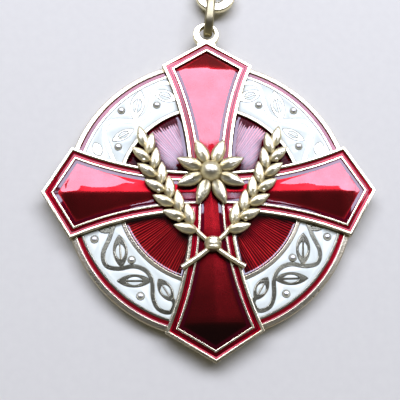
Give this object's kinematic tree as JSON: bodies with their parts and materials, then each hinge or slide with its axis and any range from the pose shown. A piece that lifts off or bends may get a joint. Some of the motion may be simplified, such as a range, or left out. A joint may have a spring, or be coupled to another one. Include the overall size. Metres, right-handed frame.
{
  "type": "merit medal",
  "caption": "gilt cross with red enamel arms on a round disc with a white enamel vine ring, a raised emblem, and a link and ring to hang it by",
  "frame": {"origin": "middle of the flat back of the disc, on the surface that the medal lies on", "axes": "+Z is the medal's face, +Y points from its centre to the hanging loop, +X is its right as seen from the front"},
  "size_m": [0.045, 0.0561, 0.0045],
  "materials": {
    "gilt": "polished pale gilt",
    "link_gilt": "satin gilt wire",
    "line_enamel": "glossy enamel",
    "arm_enamel": "glossy translucent enamel",
    "sunburst_enamel": "glossy clear enamel over fine rays",
    "white_enamel": "glossy enamel"
  },
  "bodies": {
    "root": {"disc": "gilt", "cross": "gilt", "trophy": "gilt", "upper_ring": "gilt", "link": "link_gilt", "channel_enamel": "line_enamel", "border_enamel_1": "line_enamel", "border_enamel_2": "line_enamel", "border_enamel_3": "line_enamel", "border_enamel_4": "line_enamel", "arm_enamel_1": "arm_enamel", "arm_enamel_2": "arm_enamel", "arm_enamel_3": "arm_enamel", "arm_enamel_4": "arm_enamel", "sunburst_enamel_1": "sunburst_enamel", "sunburst_enamel_2": "sunburst_enamel", "sunburst_enamel_3": "sunburst_enamel", "sunburst_enamel_4": "sunburst_enamel", "white_enamel_1": "white_enamel", "white_enamel_2": "white_enamel", "white_enamel_3": "white_enamel", "white_enamel_4": "white_enamel"}
  },
  "joints": []
}
